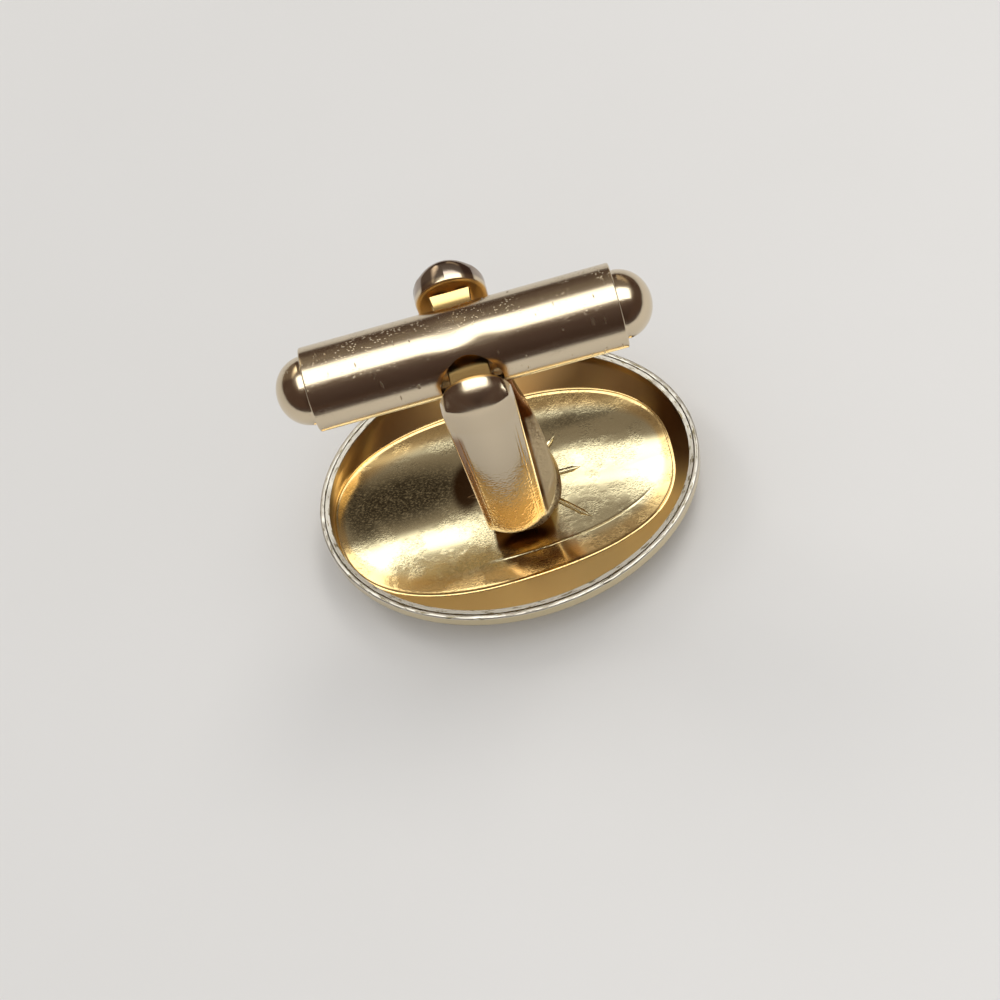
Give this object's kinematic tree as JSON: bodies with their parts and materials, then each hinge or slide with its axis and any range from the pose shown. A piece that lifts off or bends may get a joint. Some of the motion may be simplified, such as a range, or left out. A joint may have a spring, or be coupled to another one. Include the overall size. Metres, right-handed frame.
{
  "type": "cufflink",
  "caption": "Oval cufflink lying on its face: a dished head, a bent fork brazed to its back, and a toggle bar with round ends that swivels and clicks between the fork's ears.",
  "frame": {"origin": "middle of the face that the cufflink lies on, which is also the middle of the box's underside", "axes": "+X along the oval's long side and the toggle bar, +Y across it along the cross pin, +Z from the face up to the bar"},
  "size_m": [0.0198, 0.0154, 0.0178],
  "materials": {
    "face_gilt": "polished pale gilt over brass, worn along the rim",
    "pan_gilt": "satin gilt over stamped brass",
    "fork_gilt": "polished gilt",
    "braze": "beaded braze, gilt over",
    "pin_gilt": "polished gilt",
    "bar_plate": "polished champagne plate, pitted and scratched",
    "cap_plate": "polished champagne plate",
    "plunger_steel": "turned",
    "spring_wire": "drawn wire"
  },
  "bodies": {
    "head": {"face_cover": "face_gilt", "back_pan": "pan_gilt", "fork": "fork_gilt", "solder_fillet": "braze", "cross_pin": "pin_gilt"},
    "toggle_bar": {"bar_tube": "bar_plate", "left_end_cap": "cap_plate", "right_end_cap": "cap_plate", "left_spring": "spring_wire", "right_spring": "spring_wire"},
    "left_plunger": {"left_plunger": "plunger_steel"},
    "right_plunger": {"right_plunger": "plunger_steel"}
  },
  "joints": [
    {"name": "bar_swivel", "type": "hinge", "parent": "head", "child": "toggle_bar", "pos_m": [0, 0, 0.01583], "axis": [0, 1, 0], "continuous": true},
    {"name": "left_plunger_slide", "type": "slide", "parent": "toggle_bar", "child": "left_plunger", "axis": [1, 0, 0], "range_m": [0, 0.0004], "stiffness_N_per_m": 400, "deforming": ["left_spring"]},
    {"name": "right_plunger_slide", "type": "slide", "parent": "toggle_bar", "child": "right_plunger", "axis": [-1, 0, 0], "range_m": [0, 0.0004], "stiffness_N_per_m": 400, "deforming": ["right_spring"]}
  ]
}
